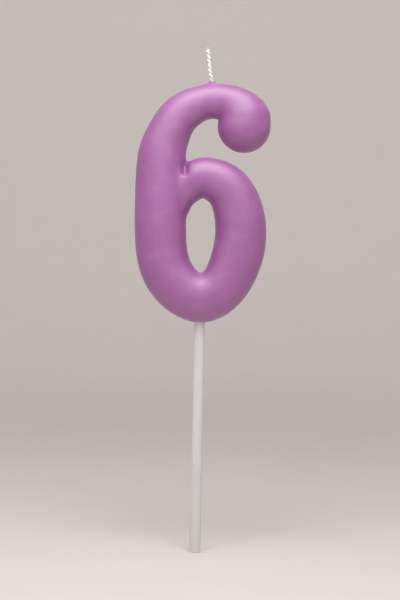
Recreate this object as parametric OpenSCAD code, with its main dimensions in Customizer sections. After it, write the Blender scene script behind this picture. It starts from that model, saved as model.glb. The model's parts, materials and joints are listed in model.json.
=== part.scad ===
// Number birthday candle: a moulded wax figure six with a cotton wick, pushed onto a round hollow stick.
// The stick stands on the Z axis with its lower tip at the origin, and the figure's front faces -Y.
// The wax is moulded in two halves that meet on the XZ plane, which also holds the stick and the wick.

/* [Wax figure] */
// Height of the figure
figure_h = 75; // [72:0.5:100]
// Width of the figure
figure_w = 42; // [35:0.5:56]
// Thickness of the figure at its stem, front to back
figure_t = 14; // [11:0.5:20]
// Stroke width down the stem and up the right side of the bowl
stem_w = 16; // [12:0.5:19.5]
// Stroke width under the bowl
foot_w = 15.5; // [14:0.5:19]
// Stroke width over the top of the bowl
crown_w = 12.8; // [10:0.2:16]
// Stroke width over the top of the figure
arc_w = 11; // [8:0.5:14]
// Stroke width at the round end of the hook
terminal_w = 16.6; // [12:0.2:20]
// Drop of the hook's round end below the underside of the top stroke
terminal_drop = 10.5; // [10:0.5:13]
// Roundness of the stroke's section, where 2 is an ellipse and more is squarer
section_power = 2.3; // [2:0.1:3]

/* [Stick] */
// Outer diameter of the stick
stick_d = 3.5; // [2.5:0.1:4.5]
// Diameter of the stick's bore
stick_bore_d = 1.7; // [0.8:0.1:2]
// Length of stick that shows below the figure
stick_free = 72; // [40:1:100]
// Depth that the stick reaches into the figure
stick_hold = 12; // [8:0.5:14.5]
// How much narrower in diameter the held end is at its tip
stick_taper = 0.2; // [0.1:0.05:0.4]
// Radial gap between the stick and its socket
socket_gap = 0.05; // [0.02:0.01:0.1]

/* [Wick] */
// Diameter of the wick
wick_d = 1.6; // [1.2:0.1:2.2]
// Length of wick that shows above the figure
wick_free = 11; // [8:0.5:20]
// Offset of the wick from the stick's axis where it leaves the wax, to the right
wick_x = 2.2; // [0:0.2:3]
// Sideways lean of the wick's free end, to the left
wick_lean = 1.4; // [0:0.2:4]
// Radial gap between the wick and its channel in the wax
wick_gap = 0.05; // [0.02:0.01:0.1]

/* [Hidden] */
$fn = 48;

// Corners round a stroke's section, and rings between two stations of a stroke
section_sides = 28;
rings_per_span = 4;
hook_rings = 8;
end_rings = 7;
// How much a stroke's thickness follows its width
bulge = 0.5;
// Stroke width where the crown ends inside the stem, and its share of the thickness there
held_in_w = 9.5;
crown_sink = 0.88;
// Radius that keeps the hook's ribs apart where they fan out of its inner corner
corner_r = 0.4;
// Corners round the wick's section, and rings between two points of its route
wick_sides = 12;
wick_steps = 3;
// Overrun of a cutting shape past the surface that it opens
overrun = 1;

// The figure stands on the stick: its underside is at this height
figure_z = stick_free;
// Reach of the strokes' centre line to each side, and from the foot to the top
reach_x = (figure_w - stem_w) / 2;
reach_z = figure_h - foot_w / 2 - arc_w / 2;
foot_z = figure_z + foot_w / 2;
top_z = figure_z + figure_h;
// Inner corner where the hook's round end hangs from the top stroke
corner_x = figure_w / 2 - terminal_w;
corner_z = top_z - arc_w;
// Middle of the half-round that ends the hook
terminal_x = figure_w / 2 - terminal_w / 2;
terminal_z = corner_z - terminal_drop + terminal_w / 2;

function mix(a, b, share) = a + (b - a) * share;

// Point of a smooth curve through b and c, whose neighbours are a and d
function curve(a, b, c, d, s) =
    b + (c - a) * s / 2
    + (2 * a - 5 * b + 4 * c - d) * s * s / 2
    + (3 * b - a - 3 * c + d) * s * s * s / 2;

// Smooth curve through all the stations but the first and the last, which only set its ends' direction
function smooth(stations, steps) = concat(
    [for (i = [1 : len(stations) - 3], k = [0 : steps - 1])
        curve(stations[i - 1], stations[i], stations[i + 1], stations[i + 2], k / steps)],
    [stations[len(stations) - 2]]
);

// A rib lies across a stroke: [middle x, middle z, width, angle from the inner end to the outer end, thickness]
// Its thickness follows its width, times a swell that is less than 1 where the stroke dips under another
function stroke_t(width) = figure_t + (width - stem_w) * bulge;
function rib(x, z, width, angle, swell = 1) = [x, z, width, angle, stroke_t(width) * swell];
// A rib placed by its share of the centre line's reach, across from the axis and up from the foot
function station(across, up, width, angle, swell = 1) =
    rib(across * reach_x, foot_z + up * reach_z, width, angle, swell);

// Rib of the hook, at turn degrees round its inner corner: the outer ends lie on a quarter of an ellipse
function hook_rib(turn) =
    let (run = terminal_w * cos(turn), rise = arc_w * sin(turn))
    let (reach = norm([run, rise]), angle = atan2(rise, run))
    let (middle = (reach + corner_r) / 2)
    rib(corner_x + middle * cos(angle), corner_z + middle * sin(angle), reach - corner_r, angle);
hook = [for (k = [0 : hook_rings - 1]) hook_rib(90 * k / hook_rings)];

// Half-round end of the hook, from its tip up to its full width
function end_rib(turn) =
    [terminal_x, terminal_z - sin(turn) * terminal_w / 2, cos(turn) * terminal_w, 0,
        cos(turn) * stroke_t(terminal_w)];
round_end = [for (k = [0 : end_rings - 1]) end_rib(84 - 84 * k / end_rings)];

// Top stroke, stem and half of the foot
main_stations = [
    rib(terminal_x, top_z - arc_w / 2, arc_w, 80),
    rib(corner_x, top_z - arc_w / 2, arc_w, 90),
    station(-0.03, 0.99, arc_w, 101),
    station(-0.54, 0.93, mix(arc_w, stem_w, 0.35), 125),
    station(-0.90, 0.80, mix(arc_w, stem_w, 0.6), 160),
    station(-1.00, 0.69, mix(arc_w, stem_w, 0.85), 176),
    station(-1.00, 0.49, stem_w, 180),
    station(-0.99, 0.33, stem_w, 183),
    station(-0.93, 0.21, stem_w, 195),
    station(-0.75, 0.11, mix(stem_w, foot_w, 0.5), 214),
    station(-0.40, 0.03, foot_w, 241),
    station(0, 0, foot_w, 270),
    station(0.38, 0.03, foot_w, 298)
];
// Other half of the foot, right side and crown of the bowl, which ends inside the stem
bowl_stations = [
    station(-0.40, 0.03, foot_w, 241),
    station(0, 0, foot_w, 270),
    station(0.38, 0.03, foot_w, 298),
    station(0.68, 0.11, mix(foot_w, stem_w, 0.5), 322),
    station(0.88, 0.22, stem_w, 344),
    station(0.95, 0.325, stem_w, 358),
    station(0.90, 0.43, mix(crown_w, stem_w, 0.85), 371),
    station(0.74, 0.52, mix(crown_w, stem_w, 0.6), 391),
    station(0.48, 0.58, mix(crown_w, stem_w, 0.35), 415),
    station(0.08, 0.61, crown_w, 445),
    station(-0.19, 0.595, crown_w, 460),
    station(-0.48, 0.55, mix(held_in_w, crown_w, 0.75), 480, crown_sink),
    station(-0.70, 0.465, mix(held_in_w, crown_w, 0.4), 505, crown_sink),
    station(-0.76, 0.385, held_in_w, 520, crown_sink),
    station(-0.76, 0.32, held_in_w, 530, crown_sink)
];
main_ribs = concat(round_end, [end_rib(0)], hook, smooth(main_stations, rings_per_span));
bowl_ribs = smooth(bowl_stations, rings_per_span);

// Superellipse round a rib, starting at its outer end
function rounded(value) = sign(value) * pow(abs(value), 2 / section_power);
function section(r) = [for (k = [0 : section_sides - 1])
    let (turn = 360 * k / section_sides)
    let (out = rounded(cos(turn)) * r[2] / 2)
    [r[0] + out * cos(r[3]), -rounded(sin(turn)) * r[4] / 2, r[1] + out * sin(r[3])]];

// Closed skin over rings of equal length, with a flat face over each end
module skin(rings) {
    sides = len(rings[0]);
    last = len(rings) - 1;
    polyhedron(
        points = [for (ring = rings, point = ring) point],
        faces = concat(
            [[for (k = [sides - 1 : -1 : 0]) k]],
            [for (i = [0 : last - 1], k = [0 : sides - 1])
                [i * sides + k, (i + 1) * sides + (k + 1) % sides, (i + 1) * sides + k]],
            [for (i = [0 : last - 1], k = [0 : sides - 1])
                [i * sides + k, i * sides + (k + 1) % sides, (i + 1) * sides + (k + 1) % sides]],
            [[for (k = [0 : sides - 1]) last * sides + k]]
        )
    );
}

// Route of the wick down the middle of the strokes, from its free end to just short of the stick
wick_top = top_z + wick_free;
wick_route = [
    [wick_x - 1.2 * wick_lean, wick_top + 0.2 * wick_free],
    [wick_x - wick_lean, wick_top],
    [wick_x - 0.4 * wick_lean, mix(top_z, wick_top, 0.4)],
    [wick_x, top_z - 1],
    [wick_x * 0.5, top_z - arc_w * 0.42],
    [-0.25 * reach_x, foot_z + 0.96 * reach_z],
    [-0.62 * reach_x, foot_z + 0.89 * reach_z],
    [-0.90 * reach_x, foot_z + 0.77 * reach_z],
    [-reach_x, foot_z + 0.62 * reach_z],
    [-reach_x, foot_z + 0.45 * reach_z],
    [-0.98 * reach_x, foot_z + 0.30 * reach_z],
    [-0.87 * reach_x, foot_z + 0.18 * reach_z],
    [-0.70 * reach_x, foot_z + 0.10 * reach_z]
];

// Rings of the given radius along the wick's route, each square to the route
function wick_rings(radius) =
    let (path = smooth(wick_route, wick_steps))
    [for (i = [0 : len(path) - 1])
        let (ahead = path[min(i + 1, len(path) - 1)] - path[max(i - 1, 0)])
        let (along = ahead / norm(ahead))
        [for (k = [0 : wick_sides - 1])
            let (turn = 360 * k / wick_sides)
            let (out = radius * cos(turn))
            [path[i][0] - along[1] * out, radius * sin(turn), path[i][1] + along[0] * out]]];

// The held end of the stick, or its socket when the gap is more than nothing
module held_end(gap, below) {
    translate([0, 0, figure_z])
        cylinder(h = stick_hold, d1 = stick_d + 2 * gap, d2 = stick_d - stick_taper + 2 * gap);
    if (below > 0)
        translate([0, 0, figure_z - below])
            cylinder(h = below, d = stick_d + 2 * gap);
}

module wax_figure() {
    color("#b07bb0")
        difference() {
            union() {
                skin([for (r = main_ribs) section(r)]);
                skin([for (r = bowl_ribs) section(r)]);
            }
            held_end(socket_gap, overrun);
            skin(wick_rings(wick_d / 2 + wick_gap));
        }
}

module wick() {
    color("#f2eee8")
        skin(wick_rings(wick_d / 2));
}

module stick() {
    color("#f4f4f2")
        difference() {
            union() {
                cylinder(h = stick_free, d = stick_d);
                held_end(0, 0);
            }
            translate([0, 0, -overrun])
                cylinder(h = stick_free + stick_hold + 2 * overrun, d = stick_bore_d);
        }
}

wax_figure();
wick();
stick();
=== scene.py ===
import json
import math
import random

import bpy
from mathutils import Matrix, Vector

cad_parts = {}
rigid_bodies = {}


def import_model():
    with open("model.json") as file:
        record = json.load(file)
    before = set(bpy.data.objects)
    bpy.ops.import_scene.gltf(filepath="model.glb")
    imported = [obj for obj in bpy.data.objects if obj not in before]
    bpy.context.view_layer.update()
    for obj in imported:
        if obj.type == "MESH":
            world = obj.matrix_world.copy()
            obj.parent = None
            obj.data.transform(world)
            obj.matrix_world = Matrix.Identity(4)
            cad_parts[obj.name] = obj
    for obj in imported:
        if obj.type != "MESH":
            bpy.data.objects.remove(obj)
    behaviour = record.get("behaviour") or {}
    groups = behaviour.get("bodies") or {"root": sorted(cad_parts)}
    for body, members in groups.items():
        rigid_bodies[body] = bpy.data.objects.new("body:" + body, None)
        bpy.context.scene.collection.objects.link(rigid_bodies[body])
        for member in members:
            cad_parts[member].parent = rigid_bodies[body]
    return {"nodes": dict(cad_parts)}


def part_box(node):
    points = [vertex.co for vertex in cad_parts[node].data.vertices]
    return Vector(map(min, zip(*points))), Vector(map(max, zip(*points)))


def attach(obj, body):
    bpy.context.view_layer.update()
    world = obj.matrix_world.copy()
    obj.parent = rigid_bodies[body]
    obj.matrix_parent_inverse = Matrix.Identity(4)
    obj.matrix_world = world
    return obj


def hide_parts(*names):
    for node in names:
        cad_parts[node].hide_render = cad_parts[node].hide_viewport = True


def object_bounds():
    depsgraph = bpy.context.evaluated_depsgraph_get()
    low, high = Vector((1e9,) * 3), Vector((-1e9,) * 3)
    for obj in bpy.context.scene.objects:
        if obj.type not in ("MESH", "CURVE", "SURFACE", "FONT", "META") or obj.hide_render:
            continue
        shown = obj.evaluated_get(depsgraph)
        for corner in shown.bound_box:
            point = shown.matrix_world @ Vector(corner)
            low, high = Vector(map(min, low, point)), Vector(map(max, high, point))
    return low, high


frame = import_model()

bl_info = {
    "name": "Number birthday candle",
    "version": (1, 0, 0),
    "blender": (4, 5, 0),
    "location": "3D View > Sidebar > Candle",
    "description": "Builds the wax figure, the wick and the stick of a number birthday candle",
    "category": "Add Mesh",
}

MM = 0.001
CAD_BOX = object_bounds()
FIGURE_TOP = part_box("wax_figure")[1].z
STICK_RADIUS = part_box("stick")[1].x
STICK_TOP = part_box("stick")[1].z

# Height of the figure's underside, where the stick's free length ends and its held end begins
UNDERSIDE = 72 * MM
HELD = STICK_TOP - UNDERSIDE
# Route of the wick in the mould's plane, from its buried end to its free end: across and up, in mm
WICK_ROUTE = [
    (-11.3, 90.9), (-12.7, 98.3), (-13.0, 107.5), (-13.0, 118.0), (-11.7, 127.3), (-8.1, 134.7),
    (-3.2, 139.0), (1.1, 142.4), (2.2, 146.0), (1.6, 151.4), (0.8, 158.0),
]

# Where the crown's end melts into the stem, on either face, and how far round it
MELT = Vector((7.6, 5.0, 117.0)) * MM
MELT_REACH = 4.6 * MM
# The short crease below the notch, from its top end to its low end
CREASE = (Vector((-5.4, 0.0, 121.6)) * MM, Vector((-5.6, 0.0, 118.6)) * MM)

# Corners closer than this are one corner
WELD = 0.001 * MM
# A corner closer than this to the mould's plane lies on it
ON_PLANE = 0.002 * MM
# Faces narrower than this round the socket's mouth are slivers
SLIVER = 0.03 * MM
# Slack that a test of place allows
SLACK = 0.01 * MM


# ---------------------------------------------------------------- settings

class FigureSettings(bpy.types.PropertyGroup):
    """Sizes and colours of the moulded wax figure."""
    grid: bpy.props.FloatProperty(
        name="Grid", description="Size of the faces that the figure's skin is built from",
        default=0.38 * MM, unit="LENGTH")
    softening: bpy.props.IntProperty(
        name="Softening", description="Rounds of smoothing that melt the strokes into each other",
        default=14)
    seam_height: bpy.props.FloatProperty(
        name="Seam height", description="How far the trimmed mould seam stands out",
        default=0.09 * MM, unit="LENGTH")
    seam_width: bpy.props.FloatProperty(
        name="Seam width", description="Width of the mould seam at its foot",
        default=0.5 * MM, unit="LENGTH")
    unevenness: bpy.props.FloatProperty(
        name="Unevenness", description="Slow waviness that cooling wax leaves",
        default=0.12 * MM, unit="LENGTH")
    socket_gap: bpy.props.FloatProperty(
        name="Socket gap", description="Gap between the stick and its socket",
        default=0.05 * MM, unit="LENGTH")
    wax_colour: bpy.props.StringProperty(
        name="Wax colour", description="Colour of the wax body, as an sRGB hex value",
        default="#984794")
    deep_colour: bpy.props.StringProperty(
        name="Deep colour", description="Colour where more dye has settled, as an sRGB hex value",
        default="#91418e")
    bloom_colour: bpy.props.StringProperty(
        name="Bloom colour", description="Colour of the thin white haze, as an sRGB hex value",
        default="#bc86b6")


class WickSettings(bpy.types.PropertyGroup):
    """Sizes and colours of the plaited cotton wick."""
    plait_pitch: bpy.props.FloatProperty(
        name="Plait pitch", description="Length in which a strand comes back to its place",
        default=4.4 * MM, unit="LENGTH")
    strand_radius: bpy.props.FloatProperty(
        name="Strand radius", description="Radius of one cotton strand",
        default=0.42 * MM, unit="LENGTH")
    cotton_colour: bpy.props.StringProperty(
        name="Cotton colour", description="Colour of the waxed cotton, as an sRGB hex value",
        default="#e8e4de")
    stain_colour: bpy.props.StringProperty(
        name="Stain colour", description="Colour that the melt leaves at the root, as an sRGB hex value",
        default="#cfa6cb")


class StickSettings(bpy.types.PropertyGroup):
    """Sizes and colours of the hollow stick."""
    bore_radius: bpy.props.FloatProperty(
        name="Bore radius", description="Radius of the hollow through the stick",
        default=0.85 * MM, unit="LENGTH")
    taper: bpy.props.FloatProperty(
        name="Taper", description="How much thinner the held end is at its tip, in radius",
        default=0.1 * MM, unit="LENGTH")
    edge_round: bpy.props.FloatProperty(
        name="Edge round", description="Rounding of the cut ends",
        default=0.16 * MM, unit="LENGTH")
    plastic_colour: bpy.props.StringProperty(
        name="Plastic colour", description="Colour of the plastic, as an sRGB hex value",
        default="#dbdbdd")
    handled_colour: bpy.props.StringProperty(
        name="Handled colour", description="Colour where the plastic is dulled, as an sRGB hex value",
        default="#d4d4d6")


class StageSettings(bpy.types.PropertyGroup):
    """The floor, the light and the camera."""
    lens: bpy.props.FloatProperty(
        name="Lens", description="Focal length of the camera, in millimetres", default=85.0)
    fill: bpy.props.FloatProperty(
        name="Fill", description="Share of the frame's height that the candle takes", default=0.84)
    roll: bpy.props.FloatProperty(
        name="Roll", description="Turn of the camera about its line of sight",
        default=math.radians(1.2), subtype="ANGLE")
    floor_colour: bpy.props.StringProperty(
        name="Floor colour", description="Colour of the floor, as an sRGB hex value",
        default="#dcd6d3")
    grain_colour: bpy.props.StringProperty(
        name="Grain colour", description="Colour of the paper's grain, as an sRGB hex value",
        default="#d8d2cf")
    air_colour: bpy.props.StringProperty(
        name="Air colour", description="Colour of the light from all round, as an sRGB hex value",
        default="#ecebea")
    air_strength: bpy.props.FloatProperty(
        name="Air strength", description="Strength of the light from all round", default=0.7)
    softbox_power: bpy.props.FloatProperty(
        name="Softbox power", description="Power of the lamp over the candle, in watts", default=0.8)
    backdrop_power: bpy.props.FloatProperty(
        name="Backdrop power", description="Power of each lamp at the backdrop, in watts", default=4.2)


# ---------------------------------------------------------------- hand tools

def pick(*objects):
    """Leaves just these objects selected, in object mode, with the first one active."""
    if bpy.context.object and bpy.context.object.mode != "OBJECT":
        bpy.ops.object.mode_set(mode="OBJECT")
    bpy.ops.object.select_all(action="DESELECT")
    for item in objects:
        item.select_set(True)
    bpy.context.view_layer.objects.active = objects[0] if objects else None


def named(name):
    """Names the object that an operator has just added."""
    item = bpy.context.object
    item.name = item.data.name = name
    return item


def edit(piece, kind="VERT"):
    """Opens one piece for editing with nothing selected."""
    pick(piece)
    bpy.ops.object.mode_set(mode="EDIT")
    bpy.ops.mesh.select_mode(type=kind)
    bpy.ops.mesh.select_all(action="DESELECT")


def choose(piece, kind, test):
    """Opens a piece and selects the vertices, edges or faces whose middle passes the test."""
    edit(piece, kind)
    bpy.ops.object.mode_set(mode="OBJECT")
    mesh = piece.data
    if kind == "VERT":
        for v in mesh.vertices:
            v.select = test(v.co)
    elif kind == "EDGE":
        for e in mesh.edges:
            e.select = test((mesh.vertices[e.vertices[0]].co + mesh.vertices[e.vertices[1]].co) / 2)
    else:
        for f in mesh.polygons:
            f.select = test(f.center)
    bpy.ops.object.mode_set(mode="EDIT")


def apply_modifier(piece, kind, **settings):
    """Adds a modifier, sets it and applies it."""
    pick(piece)
    modifier = piece.modifiers.new(kind.title(), kind)
    for key, value in settings.items():
        setattr(modifier, key, value)
    bpy.ops.object.modifier_apply(modifier=modifier.name)


def cut(piece, place, normal):
    """Cuts a whole piece with a plane and drops what lies on the normal's side."""
    edit(piece)
    bpy.ops.mesh.select_all(action="SELECT")
    bpy.ops.mesh.bisect(plane_co=place, plane_no=normal, clear_outer=True, use_fill=True)
    bpy.ops.object.mode_set(mode="OBJECT")


def merged_copy(node, name):
    """A separate copy of a CAD node, with its loose triangles joined into one skin."""
    pick(frame["nodes"][node])
    bpy.ops.object.duplicate()
    bpy.ops.object.parent_clear(type="CLEAR_KEEP_TRANSFORM")
    copy = named(name)
    for key in list(copy.keys()):
        if key.startswith("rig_"):
            del copy[key]
    edit(copy)
    bpy.ops.mesh.select_all(action="SELECT")
    bpy.ops.mesh.remove_doubles(threshold=WELD)
    bpy.ops.object.mode_set(mode="OBJECT")
    return copy


def place_in_mesh(piece):
    """Puts a finished piece's place, turn and scale into its mesh."""
    pick(piece)
    bpy.ops.object.transform_apply(location=True, rotation=True, scale=True)


def hand_in(piece, body, node, material):
    """Gives a finished piece its material and its body, and hides the CAD node that it stands for."""
    piece.data.materials.clear()
    piece.data.materials.append(material)
    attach(piece, body)
    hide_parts(node)


# ---------------------------------------------------------------- materials

def linear(hex_value):
    """Turns an sRGB hex value into the linear colour that a shader takes."""
    parts = [int(hex_value[i:i + 2], 16) / 255 for i in (1, 3, 5)]
    return (*[p / 12.92 if p <= 0.04045 else ((p + 0.055) / 1.055) ** 2.4 for p in parts], 1.0)


def new_material(name):
    """An empty material with its shader, and the object's own coordinates in metres."""
    material = bpy.data.materials.new(name)
    material.use_nodes = True
    tree = material.node_tree
    shader = tree.nodes["Principled BSDF"]
    coordinates = tree.nodes.new("ShaderNodeTexCoord")
    return material, tree, shader, coordinates.outputs["Object"]


def add(tree, kind, inputs=None, **settings):
    """Adds a node, sets its properties, and fills or links its inputs."""
    node = tree.nodes.new("ShaderNode" + kind)
    for key, value in settings.items():
        setattr(node, key, value)
    for key, value in (inputs or {}).items():
        if isinstance(value, bpy.types.NodeSocket):
            tree.links.new(value, node.inputs[key])
        else:
            node.inputs[key].default_value = value
    return node


def per_metre(millimetres):
    """The texture scale at which one feature is this many millimetres across."""
    return 1 / (millimetres * MM)


def wax_material(settings):
    """Dyed paraffin wax, poured in a polished two-part mould: satin, milky and soft at its edges.
    The light that sinks in a few millimetres comes out warmer and evens the shade out."""
    material, tree, shader, place = new_material("moulded_paraffin_wax")
    # Dye settles in slow clouds about 14 mm across
    clouds = add(tree, "TexNoise", {"Vector": place, "Scale": per_metre(14), "Detail": 2.0})
    body = add(tree, "ValToRGB", {"Fac": clouds.outputs["Fac"]})
    body.color_ramp.elements[0].position, body.color_ramp.elements[1].position = 0.35, 0.65
    body.color_ramp.elements[0].color = linear(settings.deep_colour)
    body.color_ramp.elements[1].color = linear(settings.wax_colour)
    # Bloom is a faint white haze in patches about 4 mm across, broken up by finer grain
    bloom = add(tree, "TexNoise", {"Vector": place, "Scale": per_metre(4), "Detail": 6.0,
                                   "Roughness": 0.6})
    haze = add(tree, "MapRange", {"Value": bloom.outputs["Fac"], "From Min": 0.48, "From Max": 0.78,
                                  "To Min": 0.0, "To Max": 0.22})
    colour = add(tree, "Mix", {"Factor": haze.outputs["Result"], "A": body.outputs["Color"],
                               "B": linear(settings.bloom_colour)}, data_type="RGBA")
    tree.links.new(colour.outputs[2], shader.inputs["Base Color"])
    # Handling polishes some patches more than others
    gloss = add(tree, "MapRange", {"Value": bloom.outputs["Fac"], "From Min": 0.3, "From Max": 0.7,
                                   "To Min": 0.5, "To Max": 0.62})
    tree.links.new(gloss.outputs["Result"], shader.inputs["Roughness"])
    # The skin has a soft orange-peel ripple of 1.6 mm and pits drawn at 0.5 mm, coarser than real ones
    ripple = add(tree, "TexNoise", {"Vector": place, "Scale": per_metre(1.6), "Detail": 3.0})
    pits = add(tree, "TexVoronoi", {"Vector": place, "Scale": per_metre(0.5)}, feature="SMOOTH_F1")
    relief = add(tree, "Math", {0: ripple.outputs["Fac"], 1: pits.outputs["Distance"]},
                 operation="MULTIPLY")
    bump = add(tree, "Bump", {"Height": relief.outputs["Value"], "Strength": 0.25,
                              "Distance": 0.06 * MM})
    tree.links.new(bump.outputs["Normal"], shader.inputs["Normal"])
    shader.inputs["IOR"].default_value = 1.44
    shader.inputs["Specular IOR Level"].default_value = 0.9
    # The coat is the greasy outer skin, whose wide soft sheen is stronger than the wax's own
    shader.inputs["Coat Weight"].default_value = 1.0
    shader.inputs["Coat Roughness"].default_value = 0.56
    shader.inputs["Coat IOR"].default_value = 1.8
    shader.inputs["Subsurface Weight"].default_value = 0.4
    shader.inputs["Subsurface Radius"].default_value = (1.0, 0.45, 0.8)
    shader.inputs["Subsurface Scale"].default_value = 2.4 * MM
    return material


def cotton_material(settings):
    """Bleached cotton, plaited and stiffened in clear wax: matt, slightly see-through, finely ribbed."""
    material, tree, shader, place = new_material("waxed_plaited_cotton")
    # Fibres run along the wick, so the grain is stretched upright, and 0.25 mm wide, coarser than real
    along = add(tree, "Mapping", {"Vector": place, "Scale": (1.0, 1.0, 0.15)})
    fibres = add(tree, "TexNoise", {"Vector": along.outputs["Vector"], "Scale": per_metre(0.25),
                                    "Detail": 3.0})
    # The melt that climbs about 2 mm up the wick stains it
    height = add(tree, "SeparateXYZ", {"Vector": place})
    stain = add(tree, "MapRange", {"Value": height.outputs["Z"], "From Min": FIGURE_TOP - 0.4 * MM,
                                   "From Max": FIGURE_TOP + 2.6 * MM, "To Min": 0.75, "To Max": 0.0})
    tinted = add(tree, "Mix", {"Factor": stain.outputs["Result"], "A": linear(settings.cotton_colour),
                               "B": linear(settings.stain_colour)}, data_type="RGBA")
    shade = add(tree, "MapRange", {"Value": fibres.outputs["Fac"], "From Min": 0.3, "From Max": 0.7,
                                   "To Min": 0.82, "To Max": 1.0})
    grained = add(tree, "Mix", {"Factor": 1.0, "A": tinted.outputs[2], "B": shade.outputs["Result"]},
                  data_type="RGBA", blend_type="MULTIPLY")
    tree.links.new(grained.outputs[2], shader.inputs["Base Color"])
    bump = add(tree, "Bump", {"Height": fibres.outputs["Fac"], "Strength": 0.5, "Distance": 0.08 * MM})
    tree.links.new(bump.outputs["Normal"], shader.inputs["Normal"])
    shader.inputs["Roughness"].default_value = 0.62
    shader.inputs["IOR"].default_value = 1.45
    shader.inputs["Subsurface Weight"].default_value = 0.35
    shader.inputs["Subsurface Radius"].default_value = (1.0, 0.9, 0.8)
    shader.inputs["Subsurface Scale"].default_value = 0.5 * MM
    shader.inputs["Sheen Weight"].default_value = 0.2
    return material


def plastic_material(settings):
    """White polypropylene tube, extruded and cut: half gloss, a little milky, with faint die lines."""
    material, tree, shader, place = new_material("extruded_white_polypropylene")
    # Die lines run the whole length, about 0.4 mm apart round the tube
    along = add(tree, "Mapping", {"Vector": place, "Scale": (1.0, 1.0, 0.01)})
    lines = add(tree, "TexNoise", {"Vector": along.outputs["Vector"], "Scale": per_metre(0.4),
                                   "Detail": 2.0})
    # Handling dulls the gloss in patches of about 6 mm
    patches = add(tree, "TexNoise", {"Vector": place, "Scale": per_metre(6), "Detail": 4.0})
    tone = add(tree, "ValToRGB", {"Fac": patches.outputs["Fac"]})
    tone.color_ramp.elements[0].color = linear(settings.handled_colour)
    tone.color_ramp.elements[1].color = linear(settings.plastic_colour)
    tree.links.new(tone.outputs["Color"], shader.inputs["Base Color"])
    gloss = add(tree, "MapRange", {"Value": patches.outputs["Fac"], "From Min": 0.3, "From Max": 0.7,
                                   "To Min": 0.28, "To Max": 0.4})
    tree.links.new(gloss.outputs["Result"], shader.inputs["Roughness"])
    bump = add(tree, "Bump", {"Height": lines.outputs["Fac"], "Strength": 0.3, "Distance": 0.05 * MM})
    tree.links.new(bump.outputs["Normal"], shader.inputs["Normal"])
    shader.inputs["IOR"].default_value = 1.49
    shader.inputs["Subsurface Weight"].default_value = 0.3
    shader.inputs["Subsurface Radius"].default_value = (1.0, 1.0, 0.95)
    shader.inputs["Subsurface Scale"].default_value = 0.8 * MM
    return material


def floor_material(settings):
    """Matt seamless paper: pale and even, with a faint fibre grain."""
    material, tree, shader, place = new_material("matt_seamless_paper")
    grain = add(tree, "TexNoise", {"Vector": place, "Scale": per_metre(30), "Detail": 4.0})
    tone = add(tree, "ValToRGB", {"Fac": grain.outputs["Fac"]})
    tone.color_ramp.elements[0].color = linear(settings.grain_colour)
    tone.color_ramp.elements[1].color = linear(settings.floor_colour)
    tree.links.new(tone.outputs["Color"], shader.inputs["Base Color"])
    shader.inputs["Roughness"].default_value = 0.85
    shader.inputs["Specular IOR Level"].default_value = 0.2
    return material


# ---------------------------------------------------------------- pieces

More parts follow.
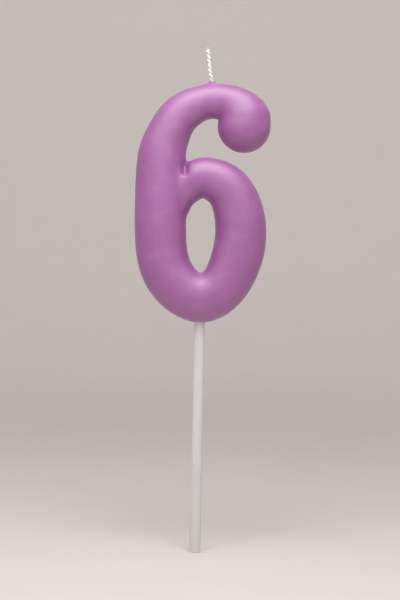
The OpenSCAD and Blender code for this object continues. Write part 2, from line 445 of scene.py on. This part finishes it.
class CANDLE_OT_figure(bpy.types.Operator):
    """Build the moulded wax figure over its CAD solid"""
    bl_idname = "candle.figure"
    bl_label = "Wax figure"

    def fill_channels(self, figure):
        """Fills the wick's channel and the stick's socket, so that the skin can be rebuilt as one."""
        wick = merged_copy("wick", "wick_plug")
        apply_modifier(wick, "DISPLACE", strength=0.3 * MM, mid_level=0.0)
        # The plug stands a little proud, which leaves a collar of wax drawn up round the wick
        proud = 0.8 * MM
        cut(wick, (0, 0, FIGURE_TOP + proud), (0, 0, 1))
        # The other plug overlaps the socket's wall and stays inside the underside's curve
        overlap, lift = 0.4 * MM, 0.3 * MM
        pick()
        bpy.ops.mesh.primitive_cylinder_add(
            vertices=32, radius=STICK_RADIUS + overlap, depth=HELD,
            location=(0, 0, UNDERSIDE + HELD / 2 + lift))
        socket = named("socket_plug")
        pick(figure, wick, socket)
        bpy.ops.object.join()

    def raise_seam(self, figure, settings):
        """Leaves the fine ridge where the two halves of the mould met and the flash was trimmed."""
        half = settings.seam_width / 2
        for offset in (-half, 0.0, half):
            edit(figure)
            bpy.ops.mesh.select_all(action="SELECT")
            bpy.ops.mesh.bisect(plane_co=(0, offset, 0), plane_no=(0, 1, 0))
        choose(figure, "VERT", lambda co: abs(co.y) < ON_PLANE)
        bpy.ops.transform.shrink_fatten(value=settings.seam_height)
        bpy.ops.object.mode_set(mode="OBJECT")

    def work_notch(self, figure):
        """Melts the crown's end into the stem, and keeps the short crease where the two strokes part."""
        choose(figure, "VERT",
               lambda co: (Vector(map(abs, co)) - MELT).length < MELT_REACH and co.x < 0)
        bpy.ops.mesh.vertices_smooth(factor=0.5, repeat=40)
        top, low = CREASE

        def off_crease(co):
            """Distance from the crease's line, seen from the front."""
            along = max(0.0, min(1.0, (co.z - low.z) / (top.z - low.z)))
            return (Vector((co.x, co.z)) - (low + (top - low) * along).xz).length

        # The crease's bottom is pressed in to half of the thickness, its walls follow, and all is eased.
        # The wax near the mould's plane is left alone
        bottom, walls, eased, core = 0.2 * MM, 1.2 * MM, 1.6 * MM, 1.5 * MM
        choose(figure, "VERT", lambda co: abs(co.y) > core and off_crease(co) < bottom)
        bpy.ops.transform.resize(
            value=(1, 0.5, 1), center_override=(0, 0, 0), use_proportional_edit=True,
            proportional_edit_falloff="LINEAR", proportional_size=walls)
        choose(figure, "VERT", lambda co: off_crease(co) < eased)
        bpy.ops.mesh.vertices_smooth(factor=0.5, repeat=4)
        bpy.ops.object.mode_set(mode="OBJECT")

    def bore_socket(self, figure, settings):
        """Cuts the tapered socket that the stick's held end sits in."""
        taper = bpy.context.scene.candle_stick.taper
        below = 2 * MM
        mouth = STICK_RADIUS + settings.socket_gap
        pick()
        bpy.ops.mesh.primitive_cone_add(
            vertices=64, radius1=mouth + taper * below / HELD, radius2=mouth - taper,
            depth=HELD + below, location=(0, 0, UNDERSIDE + (HELD - below) / 2))
        cutter = named("socket_cutter")
        apply_modifier(figure, "BOOLEAN", operation="DIFFERENCE", solver="EXACT", object=cutter)
        bpy.data.objects.remove(cutter)
        # The cut leaves slivers round the socket's mouth, which are closed up
        edit(figure)
        bpy.ops.mesh.select_all(action="SELECT")
        bpy.ops.mesh.remove_doubles(threshold=SLIVER)
        bpy.ops.mesh.dissolve_degenerate(threshold=SLACK)
        bpy.ops.object.mode_set(mode="OBJECT")

    def execute(self, context):
        settings = context.scene.candle_figure
        figure = merged_copy("wax_figure", "wax_six")
        self.fill_channels(figure)
        apply_modifier(figure, "REMESH", mode="VOXEL", voxel_size=settings.grid, use_smooth_shade=True)
        apply_modifier(figure, "SMOOTH", factor=0.5, iterations=settings.softening)
        waves = bpy.data.textures.new("cooling_waves", "CLOUDS")
        waves.noise_scale = 11 * MM
        apply_modifier(figure, "DISPLACE", texture=waves, texture_coords="LOCAL",
                       strength=settings.unevenness, mid_level=0.5)
        self.work_notch(figure)
        self.raise_seam(figure, settings)
        self.bore_socket(figure, settings)
        pick(figure)
        bpy.ops.object.shade_smooth_by_angle(angle=math.radians(50))
        place_in_mesh(figure)
        hand_in(figure, "figure", "wax_figure", wax_material(settings))
        return {"FINISHED"}


class CANDLE_OT_wick(bpy.types.Operator):
    """Build the plaited cotton wick along its route through the wax"""
    bl_idname = "candle.wick"
    bl_label = "Wick"

    def route(self):
        """A smooth curve through the middle of the wick."""
        pick()
        bpy.ops.curve.primitive_bezier_curve_add(location=(0, 0, 0))
        route = named("wick_route")
        route.data.dimensions = "3D"
        route.data.resolution_u = 24
        points = route.data.splines[0].bezier_points
        points.add(len(WICK_ROUTE) - len(points))
        for point, (across, up) in zip(points, WICK_ROUTE):
            point.co = (across * MM, 0, up * MM)
            point.handle_left_type = point.handle_right_type = "AUTO"
        return route

    def plait(self, settings, length):
        """Three strands that pass over and under each other, upright and as long as the route."""
        pick()
        bpy.ops.curve.primitive_nurbs_path_add(location=(0, 0, 0))
        plait = named("wick_braid")
        plait.data.splines.clear()
        steps_per_pitch = 24
        steps = round(length / settings.plait_pitch * steps_per_pitch)
        # How far a strand swings sideways and to the front, and how long the opened and thinned ends are
        wide, deep = 0.36 * MM, 0.2 * MM
        opened, thinned = 1.6 * MM, 0.5 * MM
        for strand in range(3):
            spline = plait.data.splines.new("POLY")
            spline.points.add(steps)
            for k, point in enumerate(spline.points):
                up = length * k / steps
                turn = math.tau * (up / settings.plait_pitch + strand / 3)
                # The cut end opens a little, and each strand thins towards its cut
                left = length - up
                loose = 1 + 0.5 * max(0, 1 - left / opened)
                point.co = (wide * loose * math.sin(turn), deep * loose * math.sin(2 * turn), up, 1)
                point.radius = min(1, 0.5 + 0.5 * left / thinned)
        plait.data.bevel_depth = settings.strand_radius
        plait.data.bevel_resolution = 4
        plait.data.use_fill_caps = True
        pick(plait)
        bpy.ops.object.convert(target="MESH")
        return bpy.context.object

    def fray(self, plait, length):
        """Fine cotton ends that stand out of the cut."""
        draw = random.Random(6)
        ends = []
        for _ in range(26):
            tall = draw.uniform(0.5, 1.3) * MM
            across, deep = draw.uniform(-0.65, 0.65), draw.uniform(-0.4, 0.4)
            # Each fibre leans outwards, and a little its own way
            lean = Vector((draw.uniform(-0.25, 0.25), draw.uniform(-0.25, 0.25)))
            tilt = Vector((-deep, across)) * 0.5 + lean
            pick()
            bpy.ops.mesh.primitive_cone_add(
                vertices=5, radius1=0.055 * MM, radius2=0.015 * MM, depth=tall,
                location=(across * MM, deep * MM, length + tall * 0.25), rotation=(*tilt, 0))
            ends.append(bpy.context.object)
        pick(plait, *ends)
        bpy.ops.object.join()

    def execute(self, context):
        settings = context.scene.candle_wick
        route = self.route()
        # The strands stop short of the wick's full length by what the frayed fibres add
        length = route.data.splines[0].calc_length() - 0.5 * MM
        plait = self.plait(settings, length)
        self.fray(plait, length)
        apply_modifier(plait, "CURVE", object=route, deform_axis="POS_Z")
        bpy.data.objects.remove(route)
        pick(plait)
        bpy.ops.object.shade_smooth_by_angle(angle=math.radians(60))
        place_in_mesh(plait)
        hand_in(plait, "figure", "wick", cotton_material(settings))
        return {"FINISHED"}


class CANDLE_OT_stick(bpy.types.Operator):
    """Build the hollow plastic stick"""
    bl_idname = "candle.stick"
    bl_label = "Stick"

    def execute(self, context):
        settings = context.scene.candle_stick
        radius, tall = STICK_RADIUS, STICK_TOP
        pick()
        bpy.ops.mesh.primitive_cylinder_add(
            vertices=64, radius=radius, depth=tall, location=(0, 0, tall / 2))
        stick = named("hollow_stick")
        place_in_mesh(stick)
        # The cut ends are inset to the bore, and the bore is opened between them
        choose(stick, "FACE", lambda co: min(co.z, tall - co.z) < SLACK)
        bpy.ops.mesh.inset(thickness=radius - settings.bore_radius)
        bpy.ops.mesh.bridge_edge_loops()
        bpy.ops.object.mode_set(mode="OBJECT")
        edit(stick)
        bpy.ops.mesh.select_all(action="SELECT")
        bpy.ops.mesh.bisect(plane_co=(0, 0, UNDERSIDE), plane_no=(0, 0, 1))
        # The held end narrows towards its tip
        rim = radius - settings.taper
        choose(stick, "VERT", lambda co: co.z > tall - SLACK and Vector(co.xy).length > rim)
        share = 1 - settings.taper / radius
        bpy.ops.transform.resize(value=(share, share, 1), center_override=(0, 0, tall))
        bpy.ops.object.mode_set(mode="OBJECT")
        apply_modifier(stick, "BEVEL", width=settings.edge_round, segments=3, limit_method="ANGLE",
                       angle_limit=math.radians(50))
        pick(stick)
        bpy.ops.object.shade_smooth_by_angle(angle=math.radians(40))
        hand_in(stick, "stick", "stick", plastic_material(settings))
        return {"FINISHED"}


class CANDLE_OT_stage(bpy.types.Operator):
    """Set out the floor, the light and the camera"""
    bl_idname = "candle.stage"
    bl_label = "Stage"

    def sweep(self, settings):
        """A pale round floor that curves up into a backdrop on all sides, well away from the candle."""
        # In metres: the floor's radius, the radius of its curve and the backdrop's height
        radius, curve, high = 2.0, 0.8, 1.7
        pick()
        bpy.ops.mesh.primitive_circle_add(vertices=96, radius=radius, fill_type="NGON")
        floor = named("paper_sweep")
        choose(floor, "FACE", lambda co: True)
        bpy.ops.mesh.extrude_region_move(TRANSFORM_OT_translate={"value": (0, 0, high)})
        bpy.ops.mesh.delete(type="ONLY_FACE")
        choose(floor, "EDGE", lambda co: co.z < 0.01)
        bpy.ops.mesh.bevel(offset=curve, segments=24, profile=0.5)
        bpy.ops.mesh.select_all(action="SELECT")
        bpy.ops.mesh.normals_make_consistent(inside=True)
        bpy.ops.object.mode_set(mode="OBJECT")
        pick(floor)
        bpy.ops.object.shade_smooth()
        floor.data.materials.append(floor_material(settings))

    def lamp(self, name, place, aim, size, watts):
        """A soft square lamp that looks at a point."""
        pick()
        bpy.ops.object.light_add(type="AREA", location=place)
        lamp = named(name)
        lamp.data.shape = "SQUARE"
        lamp.data.size = size
        lamp.data.energy = watts
        lamp.visible_camera = False
        lamp.rotation_euler = (Vector(aim) - Vector(place)).to_track_quat("-Z", "Y").to_euler()

    def execute(self, context):
        settings = context.scene.candle_stage
        low, high = CAD_BOX
        middle = (low + high) / 2
        self.sweep(settings)
        # One soft lamp hangs in front of the figure and above it, a little to the left
        self.lamp("overhead_softbox", (-0.01, -0.15, 0.31), (0, 0, 0.13), 0.22, settings.softbox_power)
        # Four lamps with their backs to the candle light the backdrop on all sides. In metres: how far out
        # and how high each one hangs, how far out and how high it aims, and its size
        out, up, wall, aim_up, size = 1.1, 1.3, 2.0, 0.5, 0.9
        for k, (across, back) in enumerate(((0, 1), (1, 0), (0, -1), (-1, 0))):
            self.lamp(f"backdrop_light_{k + 1}", (out * across, out * back, up),
                      (wall * across, wall * back, aim_up), size, settings.backdrop_power)
        world = bpy.data.worlds.new("studio_air")
        context.scene.world = world
        world.use_nodes = True
        air = world.node_tree.nodes["Background"]
        air.inputs["Color"].default_value = linear(settings.air_colour)
        air.inputs["Strength"].default_value = settings.air_strength
        # The camera looks straight along +Y, from where the candle fills its share of the frame
        pick()
        bpy.ops.object.camera_add()
        camera = named("camera")
        camera.data.lens = settings.lens
        seen = (high.z - low.z) / settings.fill
        distance = seen * settings.lens / camera.data.sensor_width
        camera.location = (middle.x, middle.y - distance, middle.z)
        camera.rotation_euler = (math.radians(90), -settings.roll, 0)
        context.scene.camera = camera
        context.scene.view_settings.view_transform = "Standard"
        return {"FINISHED"}


class CANDLE_PT_panel(bpy.types.Panel):
    """Lists the candle's pieces"""
    bl_idname = "CANDLE_PT_panel"
    bl_label = "Birthday candle"
    bl_space_type = "VIEW_3D"
    bl_region_type = "UI"
    bl_category = "Candle"

    def draw(self, context):
        for operator in OPERATORS:
            self.layout.operator(operator.bl_idname)


OPERATORS = (CANDLE_OT_stage, CANDLE_OT_figure, CANDLE_OT_wick, CANDLE_OT_stick)
SETTINGS = {"candle_figure": FigureSettings, "candle_wick": WickSettings,
            "candle_stick": StickSettings, "candle_stage": StageSettings}


def register():
    for item in (*SETTINGS.values(), *OPERATORS, CANDLE_PT_panel):
        bpy.utils.register_class(item)
    for name, group in SETTINGS.items():
        setattr(bpy.types.Scene, name, bpy.props.PointerProperty(type=group))


def unregister():
    for name in SETTINGS:
        delattr(bpy.types.Scene, name)
    for item in (CANDLE_PT_panel, *OPERATORS, *SETTINGS.values()):
        bpy.utils.unregister_class(item)


def main():
    register()
    bpy.ops.candle.stage()
    bpy.ops.candle.figure()
    bpy.ops.candle.wick()
    bpy.ops.candle.stick()


if __name__ == "__main__":
    main()
